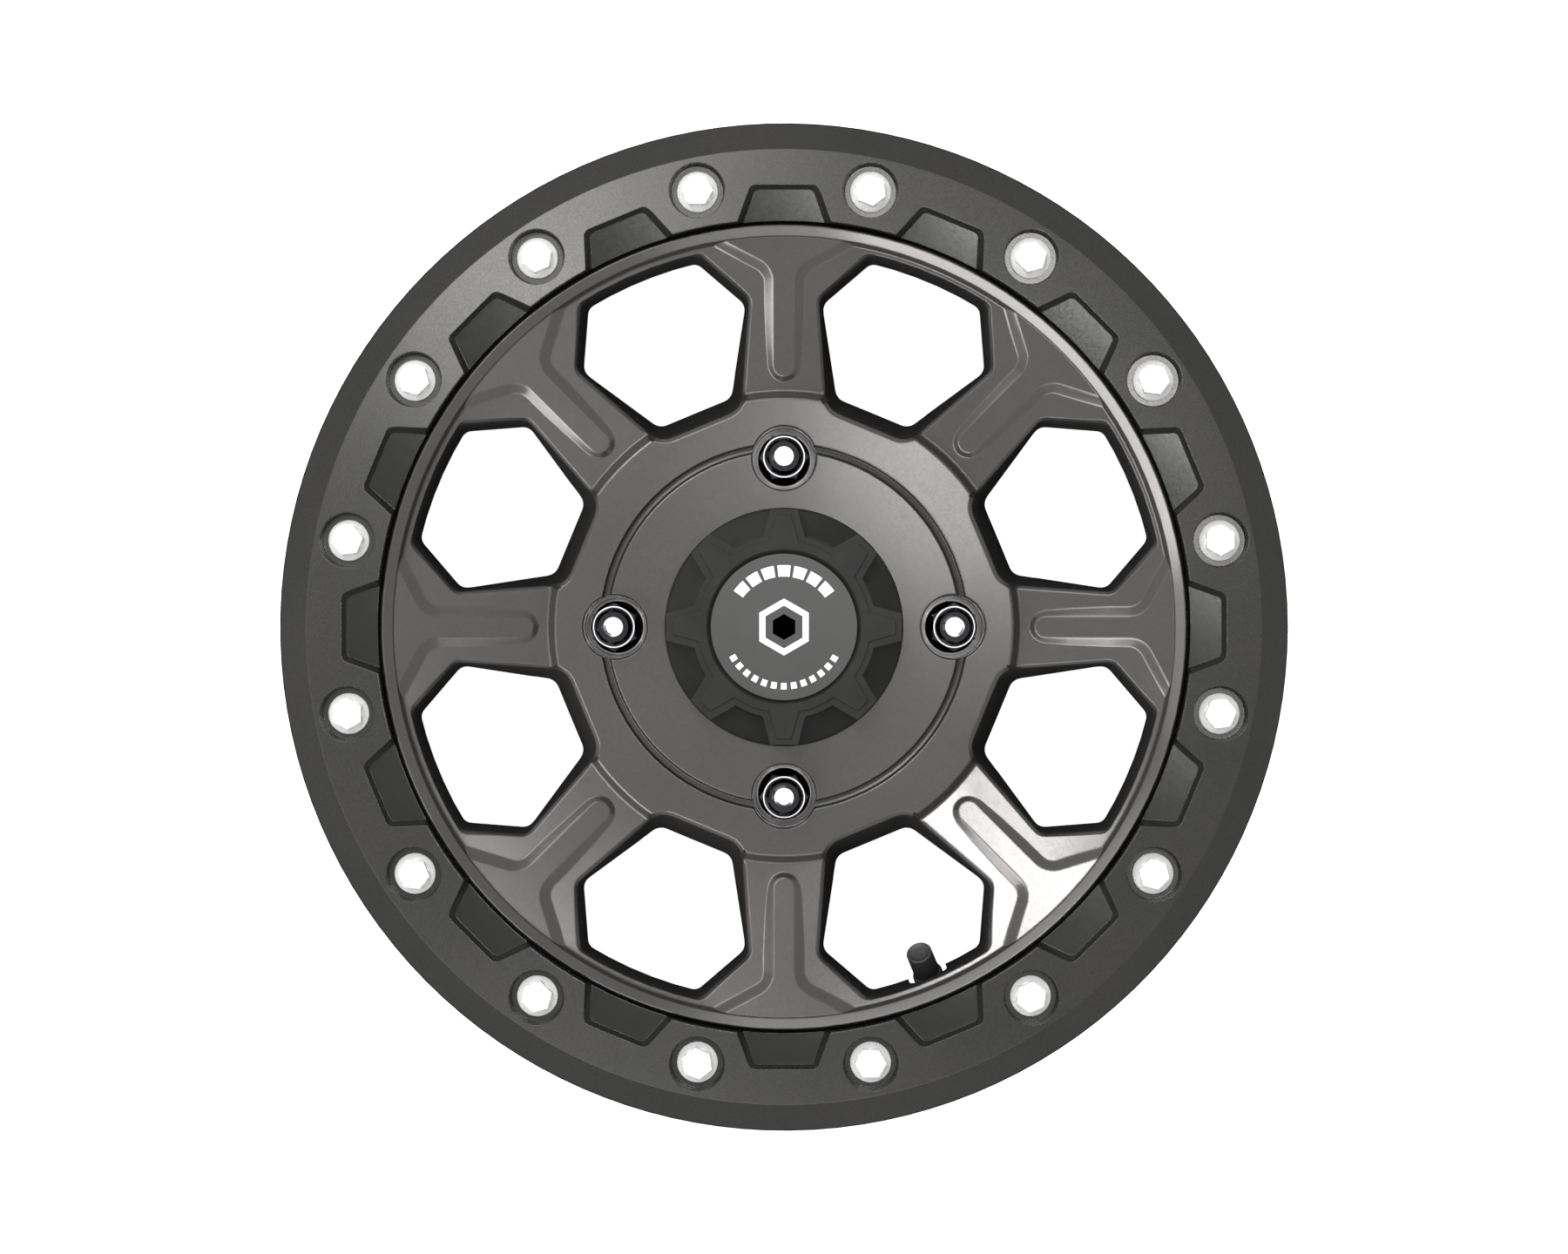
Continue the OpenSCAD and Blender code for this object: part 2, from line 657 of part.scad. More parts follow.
module ring_pocket() {
    grow = 0.5;
    rise = grow * pocket_depth / pocket_wall_w;
    loft([
        [for (p = pocket_outline(-pocket_wall_w)) [p.x, p.y, pocket_floor_at(p.y)]],
        [for (p = pocket_outline(grow)) [p.x, p.y, ring_face_at(norm(p)) + rise]],
        ring_flat(pocket_outline(grow), ring_top_z + 5)
    ]);
}

ring_section = [
    [ring_in_r, clamp_z],
    [seat_r - 1.5, clamp_z],
    [seat_r, clamp_z + bead_relief],
    [seat_r + 2.4, clamp_z + bead_relief],
    [seat_r + 3, clamp_z + bead_relief - 0.8],
    [seat_r + 3.6, clamp_z + bead_relief],
    [seat_r + 6, clamp_z + bead_relief],
    [seat_r + 6.6, clamp_z + bead_relief - 0.8],
    [seat_r + 7.2, clamp_z + bead_relief],
    [flange_r - 3, clamp_z + bead_relief],
    [flange_r - 1.5, clamp_z + bead_relief - 1.6],
    [flange_r - 0.4, clamp_z + bead_relief - 1.2],
    [flange_r, clamp_z + bead_relief],
    [flange_r, ring_top_z - ring_fall - band_fall],
    [flange_r - 0.5, ring_top_z - ring_fall - band_fall + 0.6],
    [band_in_r, ring_top_z - ring_fall],
    [ring_in_r + 0.4, ring_top_z],
    [ring_in_r, ring_top_z - 0.4]
];
bolt_hole_r = bolt_d / 2 + 0.45;
bolt_cbore_r = bolt_cbore_d / 2;

module ring_bolt_hole() {
    rotate_extrude()
        polygon([
            [0, clamp_z - 1],
            [bolt_hole_r, clamp_z - 1],
            [bolt_hole_r, bolt_seat_z],
            [bolt_cbore_r - 0.8, bolt_seat_z],
            [bolt_cbore_r, bolt_face_z],
            [bolt_cbore_r + 0.4, bolt_face_z + 4],
            [0, bolt_face_z + 4]
        ]);
}

module beadlock_ring() {
    color(ring_paint)
        difference() {
            rotate_extrude() polygon(ring_section);
            for (i = [0:bolt_n - 1]) at_azimuth((i + 0.5) * bolt_step)
                translate([0, bolt_r, 0]) ring_bolt_hole();
            for (i = [0:bolt_n - 1]) at_azimuth(i * bolt_step) ring_pocket();
        }
}

// Hexagon bar with its top corners turned off at 30 degrees
module hex_bar(af, h, chamfer) {
    corner_r = af / 2 / cos(30);
    intersection() {
        cylinder(r = corner_r, h = h, $fn = 6);
        rotate_extrude()
            polygon([
                [0, 0],
                [corner_r + 1, 0],
                [corner_r + 1, h - chamfer - 1 * tan(30)],
                [af / 2 - 0.2, h],
                [0, h]
            ]);
    }
}

module ring_bolt(i) {
    flange_top = 2.6;
    rim_h = 1.3;
    shank_r = bolt_d / 2 - thread_gap;
    color(zinc)
        at_azimuth((i - 0.5) * bolt_step)
            translate([0, bolt_r, bolt_seat_z])
                rotate([0, 0, hex_turn]) {
                    rotate_extrude()
                        polygon([
                            [0, -bolt_len],
                            [shank_r - 0.8, -bolt_len],
                            [shank_r, -bolt_len + 0.8],
                            [shank_r, 0],
                            [bolt_flange_d / 2 - 0.3, 0],
                            [bolt_flange_d / 2, 0.3],
                            [bolt_flange_d / 2, rim_h - 0.2],
                            [bolt_flange_d / 2 - 0.2, rim_h],
                            [bolt_af / 2 + 0.2, flange_top],
                            [0, flange_top]
                        ]);
                    rotate([0, 0, 30]) hex_bar(bolt_af, bolt_head_h, 0.7);
                }
}

module thread_insert(i) {
    color(steel)
        at_azimuth((i - 0.5) * bolt_step)
            translate([0, bolt_r, clamp_z - 0.2])
                rotate_extrude()
                    polygon([
                        [bolt_d / 2, -insert_len],
                        [insert_d / 2 - 0.6, -insert_len],
                        [insert_d / 2, -insert_len + 0.6],
                        [insert_d / 2, 0],
                        [bolt_d / 2 + 0.5, 0],
                        [bolt_d / 2, -0.5]
                    ]);
}

// Closed lug nut: threaded blind bore, 60 degree seat, collar, hexagon and dome
module lug_nut(i) {
    nose_r = lug_hole_d / 2 + 0.15;
    seat_r0 = lug_collar_d / 2;
    nose_z = -(seat_r0 - nose_r) / tan(seat_half_angle);
    rest_z = lug_floor_z + (seat_r0 - lug_seat_in_r) / tan(seat_half_angle) + 0.03;
    hex_top = lug_len - 6.6;
    dome_r = lug_af / 2 - 0.6;
    dome_h = lug_len - hex_top;
    bore_r = lug_thread_d / 2 - 0.75;
    bore_depth = lug_len * 0.72;
    color(black_chrome)
        at_azimuth((i - 1) * lug_step)
            translate([0, lug_r, rest_z])
                difference() {
                    union() {
                        rotate_extrude()
                            polygon([
                                [0, nose_z],
                                [nose_r, nose_z],
                                [seat_r0, 0],
                                [seat_r0, lug_collar_h - 0.8],
                                [seat_r0 - 0.8, lug_collar_h],
                                [lug_af / 2, lug_collar_h + 0.6],
                                [0, lug_collar_h + 0.6]
                            ]);
                        hex_bar(lug_af, hex_top, 1);
                        rotate_extrude()
                            polygon(concat(
                                [[0, hex_top - 1]],
                                [for (g = [0:10:90]) [dome_r * cos(g), hex_top + dome_h * sin(g)]]
                            ));
                    }
                    translate([0, 0, nose_z - 1]) cylinder(r = bore_r, h = bore_depth - nose_z + 1);
                    translate([0, 0, nose_z - 0.01])
                        cylinder(r1 = bore_r + 0.9, r2 = bore_r, h = 0.9);
                }
}

// Face outline of the hub cap: arms that narrow outwards, and round valleys between them
cap_r = cap_d / 2;
cap_tip_r = cap_r - 1.1;
cap_top_z = hub_z + cap_h;
cap_step = 360 / cap_arm_n;
function cap_face(o) =
    let (
        lean = atan2((cap_arm_root_w - cap_arm_tip_w) / 2, cap_tip_r - cap_valley_r),
        side = o / cos(lean),
        tip_y = cap_tip_r - o,
        tip_x = cap_arm_tip_w / 2 - side,
        root_x = cap_arm_root_w / 2 - side,
        valley = cap_valley_r - o,
        root_y = sqrt(valley * valley - root_x * root_x),
        root_a = atan2(root_x, root_y)
    )
    [
        for (i = [0:cap_arm_n - 1])
            let (a = -i * cap_step)
            for (p = concat(
                [[tip_x, tip_y], [-tip_x, tip_y]],
                [for (t = [0:0.25:1]) let (g = blend(root_a, cap_step - root_a, t)) [-valley * sin(g), valley * cos(g)]]
            ))
                [p.x * cos(-a) - p.y * sin(-a), p.x * sin(-a) + p.y * cos(-a)]
    ];

leg_out_r = cap_bore_r - 0.4;
leg_t = 2;
leg_len = 19;
clip_r = leg_out_r - leg_t - clip_wire_d / 2;
clip_z = clip_groove_z + 0.4;
disc_sink = cap_disc_t + 0.2;

module hub_cap() {
    floor_in_z = cap_top_z - 8.5;
    rim_z = hub_z + 2;
    color(black_plastic) {
        difference() {
            union() {
                rotate_extrude()
                    polygon([
                        [0, hub_z + 0.02],
                        [cap_r - 0.4, hub_z + 0.02],
                        [cap_r, hub_z + 0.4],
                        [cap_r, rim_z - 0.4],
                        [cap_r - 0.4, rim_z],
                        [cap_tip_r, rim_z + 0.6],
                        [cap_valley_r + 1, floor_in_z],
                        [0, floor_in_z]
                    ]);
                translate([0, 0, rim_z])
                    linear_extrude(height = cap_h - 2 - cap_border_step) polygon(cap_face(0));
                translate([0, 0, rim_z])
                    linear_extrude(height = cap_h - 2) polygon(cap_face(cap_border_w));
            }
            rotate_extrude()
                polygon([
                    [0, cap_top_z - disc_sink],
                    [cap_disc_d / 2 + seat_gap, cap_top_z - disc_sink],
                    [cap_disc_d / 2 + cap_groove_w, cap_top_z],
                    [cap_disc_d / 2 + cap_groove_w, cap_top_z + 1],
                    [0, cap_top_z + 1]
                ]);
            rotate_extrude()
                polygon([
                    [0, hub_z - 1],
                    [leg_out_r - leg_t, hub_z - 1],
                    [leg_out_r - leg_t, hub_z + cap_wall],
                    [cap_valley_r - cap_wall, floor_in_z - cap_wall],
                    [cap_valley_r - cap_wall - 1, cap_top_z - disc_sink - cap_wall],
                    [0, cap_top_z - disc_sink - cap_wall]
                ]);
        }
        // skirt cut into snap legs, each with an outward hook
        difference() {
            rotate_extrude()
                polygon([
                    [leg_out_r - leg_t, hub_z - leg_len],
                    [leg_out_r - 0.6, hub_z - leg_len],
                    [leg_out_r, clip_groove_z - 0.6],
                    [leg_out_r + 1.2, clip_groove_z + 1.4],
                    [leg_out_r + 1.2, clip_groove_z + 1.8],
                    [leg_out_r, clip_groove_z + 2.2],
                    [leg_out_r, hub_z + 0.5],
                    [leg_out_r - leg_t, hub_z + 0.5]
                ]);
            for (i = [0:cap_leg_n - 1])
                rotate([0, 0, i * 360 / cap_leg_n])
                    translate([0, -5, hub_z - leg_len - 1])
                        cube([cap_r, 10, leg_len]);
        }
    }
}

module cap_disc() {
    color(black_plastic)
        translate([0, 0, cap_top_z - disc_sink + 0.02])
            rotate_extrude()
                polygon([
                    [0, 0],
                    [cap_disc_d / 2, 0],
                    [cap_disc_d / 2, cap_disc_t - 0.3],
                    [cap_disc_d / 2 - 0.3, cap_disc_t],
                    [0, cap_disc_t]
                ]);
}

// Open spring ring inside the cap's legs
module cap_clip_ring() {
    color(steel)
        translate([0, 0, clip_z])
            rotate([0, 0, 15])
                rotate_extrude(angle = 330)
                    translate([clip_r - seat_gap, 0]) circle(d = clip_wire_d, $fn = 24);
}

// Snap-in valve: rubber body round a brass stem, with its core and a plastic cap
valve_top = valve_len - valve_cap_len;
stem_r = 3.8;
stem_low = -2;
core_r = 2.3;

module valve_body() {
    foot_r = valve_foot_d / 2;
    collar_r = valve_collar_d / 2;
    bulb_r = valve_spot_d / 2 - 0.6;
    color(rubber_black)
        on_valve_axis()
            rotate_extrude()
                polygon([
                    [stem_r, 0.4 - valve_foot_t],
                    [foot_r - 0.8, -valve_foot_t],
                    [foot_r, 0.8 - valve_foot_t],
                    [foot_r, -0.6],
                    [foot_r - 0.6, -seat_gap],
                    [valve_hole_d / 2 - seat_gap, -seat_gap],
                    [valve_hole_d / 2 - seat_gap, valve_wall + seat_gap],
                    [bulb_r - 0.2, valve_wall + seat_gap],
                    [bulb_r, valve_wall + 1.6],
                    [bulb_r - 0.3, valve_wall + 4],
                    [collar_r, valve_top - 6],
                    [collar_r, valve_top - 3],
                    [collar_r - 0.4, valve_top - 1.8],
                    [collar_r - 1.2, valve_top - 1],
                    [stem_r, valve_top - 1]
                ]);
}

module valve_stem() {
    color(brass)
        on_valve_axis()
            rotate_extrude()
                polygon([
                    [core_r, stem_low - 1],
                    [stem_r - seat_gap, stem_low - 1],
                    [stem_r - seat_gap, valve_len - 2.2],
                    [stem_r - 0.5, valve_len - 1.8],
                    [core_r, valve_len - 1.8]
                ]);
}

module valve_core() {
    r = core_r - seat_gap;
    color(brass)
        on_valve_axis()
            rotate_extrude()
                polygon([
                    [0, valve_top - 14],
                    [r - 0.7, valve_top - 14],
                    [r, valve_top - 13],
                    [r, valve_top + 3],
                    [1.6, valve_top + 3],
                    [1.6, valve_len - 3.6],
                    [0.5, valve_len - 3.6],
                    [0.5, valve_len - 2.4],
                    [0, valve_len - 2.4]
                ]);
}

module valve_cap() {
    r = valve_cap_d / 2;
    color(black_plastic)
        on_valve_axis()
            rotate_extrude()
                polygon([
                    [0, valve_len - 0.8],
                    [0, valve_len - 1.6],
                    [stem_r + seat_gap, valve_len - 1.6],
                    [stem_r + seat_gap, valve_top],
                    [r, valve_top],
                    [r - 0.1, valve_len - 0.5],
                    [r - 0.5, valve_len],
                    [r - 0.9, valve_len],
                    [r - 2.2, valve_len - 0.6]
                ]);
}

wheel();
beadlock_ring();
for (i = [1:bolt_n]) ring_bolt(i);
for (i = [1:bolt_n]) thread_insert(i);
for (i = [1:lug_n]) lug_nut(i);
hub_cap();
cap_disc();
cap_clip_ring();
valve_body();
valve_stem();
valve_core();
valve_cap();
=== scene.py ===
"""Looks of a one-piece cast off-road wheel with a bolted bead clamp ring, around its CAD frame."""

import json
import math

import bpy
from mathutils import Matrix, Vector


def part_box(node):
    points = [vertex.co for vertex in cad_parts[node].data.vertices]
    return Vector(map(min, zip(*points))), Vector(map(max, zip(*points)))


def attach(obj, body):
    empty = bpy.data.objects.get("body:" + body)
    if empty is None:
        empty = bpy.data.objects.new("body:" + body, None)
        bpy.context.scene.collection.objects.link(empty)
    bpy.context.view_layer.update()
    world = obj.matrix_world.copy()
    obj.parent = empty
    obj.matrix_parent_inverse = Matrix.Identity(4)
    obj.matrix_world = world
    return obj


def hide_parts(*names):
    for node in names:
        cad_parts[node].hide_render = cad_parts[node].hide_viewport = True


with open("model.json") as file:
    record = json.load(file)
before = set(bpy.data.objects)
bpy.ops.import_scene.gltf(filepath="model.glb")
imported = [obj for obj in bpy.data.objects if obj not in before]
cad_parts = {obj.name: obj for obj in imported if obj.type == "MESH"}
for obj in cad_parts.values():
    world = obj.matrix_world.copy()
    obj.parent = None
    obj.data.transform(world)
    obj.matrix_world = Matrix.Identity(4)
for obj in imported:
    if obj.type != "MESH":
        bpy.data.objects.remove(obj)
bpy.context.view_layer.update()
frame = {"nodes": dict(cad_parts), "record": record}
nodes = frame["nodes"]
bpy.ops.object.select_all(action="DESELECT")

MM = 0.001
BOLTS = [f"ring_bolt_{i}" for i in range(1, 17)]
INSERTS = [f"thread_insert_{i}" for i in range(1, 17)]
NUTS = [f"lug_nut_{i}" for i in range(1, 5)]

# Edges sharper than these stay crisp; the rest shade as one skin
CASTING_CRISP_DEG = 17
RING_CRISP_DEG = 14
# The faced pad on the wheel's back, and the groove round its hub face, whose faces get painted shade
PAD_RADIUS = 84.5 * MM
GROOVE_RADII = (71.0 * MM, 74.8 * MM)
GROOVE_DEPTHS = (0.05 * MM, 1.5 * MM)
HUB_FACE_RADIUS = 80 * MM
# Slopes that tell the ring's pocket floors from its face: they fall towards the axis by 2 to 7 degrees. The
# pocket floors get painted shade
NEARLY_FLAT = 0.99
POCKET_FALL = (0.03, 0.12)
# Unevenness of a sprayed coat, and of a moulding's gloss
COAT_CLOUD_MM = 45
MOULD_CLOUD_MM = 18
# Blender's ring wave draws about this many rings per unit of its scale
RINGS_PER_UNIT = 3.1


# Camera: on the wheel's axis, looking straight down on its face, with +Y up in the picture.
CAMERA_HEIGHT = 1.59
LENS = 79.81

bpy.ops.object.camera_add(location=(0, 0, CAMERA_HEIGHT), rotation=(0, 0, 0))
camera = bpy.context.object
camera.name = "front_camera"
camera.data.sensor_width = 36
camera.data.lens = LENS
camera.data.clip_end = 50
bpy.context.scene.camera = camera
bpy.context.scene.view_settings.view_transform = "Standard"


# Shader helpers
def linear(code):
    """An sRGB hex value as a linear colour."""
    parts = [int(code[i : i + 2], 16) / 255 for i in (1, 3, 5)]
    return tuple(c / 12.92 if c <= 0.04045 else ((c + 0.055) / 1.055) ** 2.4 for c in parts) + (1,)


def per_mm(size):
    """A texture scale whose pattern repeats about every size millimetres."""
    return 1 / (size * MM)


def add(tree, kind, settings=None, **inputs):
    """Adds a node. Each input is a value or another node's output; a name's underscores are its spaces."""
    made = tree.nodes.new(kind)
    for name, value in (settings or {}).items():
        setattr(made, name, value)
    for name, value in inputs.items():
        socket = made.inputs[name.replace("_", " ")]
        if isinstance(value, bpy.types.NodeSocket):
            tree.links.new(value, socket)
        else:
            socket.default_value = value
    return made


def new_material(name):
    """An empty material with its output, its Principled shader and its Object coordinates."""
    made = bpy.data.materials.new(name)
    made.use_nodes = True
    tree = made.node_tree
    shader = tree.nodes["Principled BSDF"]
    place = tree.nodes.new("ShaderNodeTexCoord").outputs["Object"]
    return made, tree, shader, place


def graphite_coat(name, dark, light, roughness, flake_mm, peel_mm, edge_mm):
    """Metallic powder coat, sprayed and baked on cast or forged aluminium.

    Aluminium flakes in a grey resin: a soft metal sheen with a fine sparkle, and a faint orange peel.
    """
    made, tree, shader, place = new_material(name)
    # real flakes are 0.03 mm across; they are drawn larger so that they show
    flakes = add(tree, "ShaderNodeTexVoronoi", {"feature": "F1"}, Vector=place, Scale=per_mm(flake_mm))
    grain = add(tree, "ShaderNodeSeparateColor", Color=flakes.outputs["Color"])
    cloud = add(tree, "ShaderNodeTexNoise", Vector=place, Scale=per_mm(COAT_CLOUD_MM), Detail=3.0, Roughness=0.55)
    mixed = add(tree, "ShaderNodeMath", {"operation": "MULTIPLY_ADD"})
    tree.links.new(grain.outputs["Red"], mixed.inputs[0])
    mixed.inputs[1].default_value = 0.4
    tree.links.new(cloud.outputs["Fac"], mixed.inputs[2])
    tone = add(tree, "ShaderNodeMapRange", Value=mixed.outputs["Value"], From_Min=0.2, From_Max=1.2)
    colour = add(tree, "ShaderNodeValToRGB", Fac=tone.outputs["Result"])
    colour.color_ramp.elements[0].color = linear(dark)
    colour.color_ramp.elements[1].color = linear(light)
    tree.links.new(colour.outputs["Color"], shader.inputs["Base Color"])
    shine = add(
        tree, "ShaderNodeMapRange", Value=grain.outputs["Green"],
        From_Min=0.0, From_Max=1.0, To_Min=roughness - 0.015, To_Max=roughness + 0.02,
    )
    tree.links.new(shine.outputs["Result"], shader.inputs["Roughness"])
    round_edge = add(tree, "ShaderNodeBevel", {"samples": 6}, Radius=edge_mm * MM)
    peel = add(tree, "ShaderNodeTexNoise", Vector=place, Scale=per_mm(peel_mm), Detail=2.0)
    bump = add(
        tree, "ShaderNodeBump", Height=peel.outputs["Fac"], Distance=0.02 * MM, Strength=0.25,
        Normal=round_edge.outputs["Normal"],
    )
    tree.links.new(bump.outputs["Normal"], shader.inputs["Normal"])
    shader.inputs["Metallic"].default_value = 0.65
    return made


def plated_steel(name, dark, light, roughness, spot_mm, edge_mm, metallic=1.0):
    """A metal part with a plated or baked film, or bare: bright, and slightly cloudy."""
    made, tree, shader, place = new_material(name)
    film = add(tree, "ShaderNodeTexNoise", Vector=place, Scale=per_mm(spot_mm), Detail=4.0, Roughness=0.6)
    colour = add(tree, "ShaderNodeValToRGB", Fac=film.outputs["Fac"])
    colour.color_ramp.elements[0].position = 0.3
    colour.color_ramp.elements[0].color = linear(dark)
    colour.color_ramp.elements[1].position = 0.7
    colour.color_ramp.elements[1].color = linear(light)
    tree.links.new(colour.outputs["Color"], shader.inputs["Base Color"])
    shine = add(
        tree, "ShaderNodeMapRange", Value=film.outputs["Fac"],
        From_Min=0.3, From_Max=0.7, To_Min=roughness * 1.25, To_Max=roughness * 0.8,
    )
    tree.links.new(shine.outputs["Result"], shader.inputs["Roughness"])
    round_edge = add(tree, "ShaderNodeBevel", {"samples": 6}, Radius=edge_mm * MM)
    tree.links.new(round_edge.outputs["Normal"], shader.inputs["Normal"])
    shader.inputs["Metallic"].default_value = metallic
    return made


def moulded(name, dark, light, roughness, grain_mm, grain_depth, edge_mm, ior=1.5, gloss=0.5):
    """A moulded plastic or rubber with the mould's fine spark-eroded grain."""
    made, tree, shader, place = new_material(name)
    grain = add(tree, "ShaderNodeTexNoise", Vector=place, Scale=per_mm(grain_mm), Detail=3.0, Roughness=0.6)
    cloud = add(tree, "ShaderNodeTexNoise", Vector=place, Scale=per_mm(MOULD_CLOUD_MM), Detail=2.0)
    colour = add(tree, "ShaderNodeValToRGB", Fac=cloud.outputs["Fac"])
    colour.color_ramp.elements[0].position = 0.35
    colour.color_ramp.elements[0].color = linear(dark)
    colour.color_ramp.elements[1].position = 0.7
    colour.color_ramp.elements[1].color = linear(light)
    tree.links.new(colour.outputs["Color"], shader.inputs["Base Color"])
    shine = add(
        tree, "ShaderNodeMapRange", Value=cloud.outputs["Fac"],
        From_Min=0.3, From_Max=0.7, To_Min=roughness - 0.04, To_Max=roughness + 0.04,
    )
    tree.links.new(shine.outputs["Result"], shader.inputs["Roughness"])
    round_edge = add(tree, "ShaderNodeBevel", {"samples": 6}, Radius=edge_mm * MM)
    bump = add(
        tree, "ShaderNodeBump", Height=grain.outputs["Fac"], Distance=grain_depth * MM, Strength=0.6,
        Normal=round_edge.outputs["Normal"],
    )
    tree.links.new(bump.outputs["Normal"], shader.inputs["Normal"])
    shader.inputs["IOR"].default_value = ior
    shader.inputs["Specular IOR Level"].default_value = gloss
    return made


def turned_metal(name, dark, light, roughness, pitch_mm):
    """Bare metal faced on a lathe round the wheel's axis: fine rings that catch the light."""
    made, tree, shader, place = new_material(name)
    rings = add(
        tree, "ShaderNodeTexWave", {"wave_type": "RINGS", "rings_direction": "Z"},
        Vector=place, Scale=per_mm(pitch_mm) / RINGS_PER_UNIT, Distortion=0.4, Detail=2.0,
    )
    colour = add(tree, "ShaderNodeValToRGB", Fac=rings.outputs["Fac"])
    colour.color_ramp.elements[0].color = linear(dark)
    colour.color_ramp.elements[1].color = linear(light)
    tree.links.new(colour.outputs["Color"], shader.inputs["Base Color"])
    bump = add(tree, "ShaderNodeBump", Height=rings.outputs["Fac"], Distance=0.03 * MM, Strength=0.5)
    tree.links.new(bump.outputs["Normal"], shader.inputs["Normal"])
    shader.inputs["Metallic"].default_value = 1.0
    shader.inputs["Roughness"].default_value = roughness
    return made


# Graphite powder coat on cast aluminium: satin, with a soft metal sheen
wheel_coat = graphite_coat("graphite_powder_coat", "#444342", "#4f4d4c", 0.18, 0.7, 1.6, 0.9)
# Darker graphite powder coat on the forged ring: satin, nearly black away from the light. The casting's hub
# groove takes it too, as painted shade
ring_coat_and_groove_shade = graphite_coat("dark_graphite_coat_and_groove_shade", "#282827", "#323130", 0.27, 0.7, 1.6, 0.45)
# Painted shade on the pocket floors: a darker graphite coat, which is also glossier. That is a guess, made to
# match how dark they look
pocket_painted_shade = graphite_coat("graphite_coat_painted_pocket_shade", "#1a1a19", "#21211f", 0.13, 0.7, 1.6, 0.3)
# Zinc flake on cold-formed steel bolts: a baked silver-white film, a quarter metal and the rest pale binder
zinc = plated_steel("zinc_flake_coat", "#e6e6e4", "#f8f8f6", 0.3, 2.5, 0.2, metallic=0.25)
# Black chrome on steel nuts: a dark mirror
black_chrome = plated_steel("black_chrome_plate", "#343436", "#3e3e40", 0.08, 6.0, 0.35)
# Plain zinc-iron plate on the inserts and the spring ring: dull steel grey
plain_plate = plated_steel("plain_steel_plate", "#8d8d8b", "#a9a9a7", 0.35, 2.0, 0.1)
# Turned brass: yellow metal
brass = plated_steel("turned_brass", "#a98a4c", "#c8a860", 0.28, 2.0, 0.1)
# ABS, injection moulded with a fine grain: satin black
cap_abs = moulded("satin_black_abs", "#1b1b1a", "#232322", 0.4, 0.35, 0.02, 0.35, gloss=0.16)
# The disc's ABS comes from a smoother mould: a slightly glossier black
disc_abs = moulded("smooth_black_abs", "#292928", "#2e2e2d", 0.34, 0.5, 0.006, 0.2)
# Nylon valve cap, injection moulded: matt black
valve_nylon = moulded("matt_black_nylon", "#1e1e1e", "#292928", 0.5, 0.4, 0.03, 0.4)
# EPDM rubber, compression moulded: soft black
valve_epdm = moulded("black_epdm_rubber", "#171717", "#212120", 0.62, 0.5, 0.04, 0.3, ior=1.52)
# White pad-printing ink on the disc: a thin, even, slightly soft film
white_ink = moulded("white_pad_ink", "#e8e8e6", "#f6f6f4", 0.45, 0.4, 0.004, 0.05)
# Bare aluminium, faced on a lathe after coating
faced_alloy = turned_metal("faced_aluminium", "#a9a9a8", "#c4c4c2", 0.3, 0.5)


def dress(names, material):
    """Gives CAD nodes one material in place of their own."""
    for name in names:
        data = nodes[name].data
        data.materials.clear()
        data.materials.append(material)


dress(BOLTS, zinc)
dress(INSERTS + ["cap_clip_ring"], plain_plate)
dress(NUTS, black_chrome)
dress(["hub_cap"], cap_abs)
dress(["cap_disc"], disc_abs)
dress(["valve_body"], valve_epdm)
dress(["valve_cap"], valve_nylon)
dress(["valve_stem", "valve_core"], brass)


def only(piece):
    """Makes piece the one selected and active object."""
    bpy.ops.object.select_all(action="DESELECT")
    piece.select_set(True)
    bpy.context.view_layer.objects.active = piece


def smooth_casting(node, name, materials, angle):
    """A copy of a CAD node with its corners merged, so that its soft surfaces shade as one skin."""
    piece = bpy.data.objects.new(name, nodes[node].data.copy())
    bpy.context.scene.collection.objects.link(piece)
    only(piece)
    bpy.ops.mesh.customdata_custom_splitnormals_clear()
    bpy.ops.object.mode_set(mode="EDIT")
    bpy.ops.mesh.select_all(action="SELECT")
    bpy.ops.mesh.remove_doubles(threshold=0.002 * MM)
    bpy.ops.object.mode_set(mode="OBJECT")
    bpy.ops.object.shade_smooth_by_angle(angle=math.radians(angle))
    even = piece.modifiers.new("even_flats", "WEIGHTED_NORMAL")
    even.keep_sharp = True
    bpy.ops.object.modifier_apply(modifier=even.name)
    piece.data.materials.clear()
    for material in materials:
        piece.data.materials.append(material)
    for face in piece.data.polygons:
        face.material_index = 0
    return piece


# The casting and the ring: their CAD solids with merged corners
casting = smooth_casting("wheel", "wheel_casting", [wheel_coat, faced_alloy, ring_coat_and_groove_shade], CASTING_CRISP_DEG)
pad_height = next(
    mount["pos_m"][2] for mount in frame["record"]["mounts"] if mount["name"] == "mounting_face"
)
hub_face = max(
    vertex.co.z for vertex in casting.data.vertices if vertex.co.xy.length < HUB_FACE_RADIUS
)
for face in casting.data.polygons:
    middle = face.center
    radius = middle.xy.length
    if face.normal.z < -NEARLY_FLAT and abs(middle.z - pad_height) < 0.3 * MM and radius < PAD_RADIUS:
        face.material_index = 1
    # Painted shade in the groove: its faces take the ring's darker coat. That is a guess, made to match how dark
    # it looks
    in_groove = GROOVE_RADII[0] < radius < GROOVE_RADII[1]
    if in_groove and GROOVE_DEPTHS[0] < hub_face - middle.z < GROOVE_DEPTHS[1]:
        face.material_index = 2
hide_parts("wheel")
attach(casting, "root")

ring = smooth_casting("beadlock_ring", "clamp_ring", [ring_coat_and_groove_shade, pocket_painted_shade], RING_CRISP_DEG)
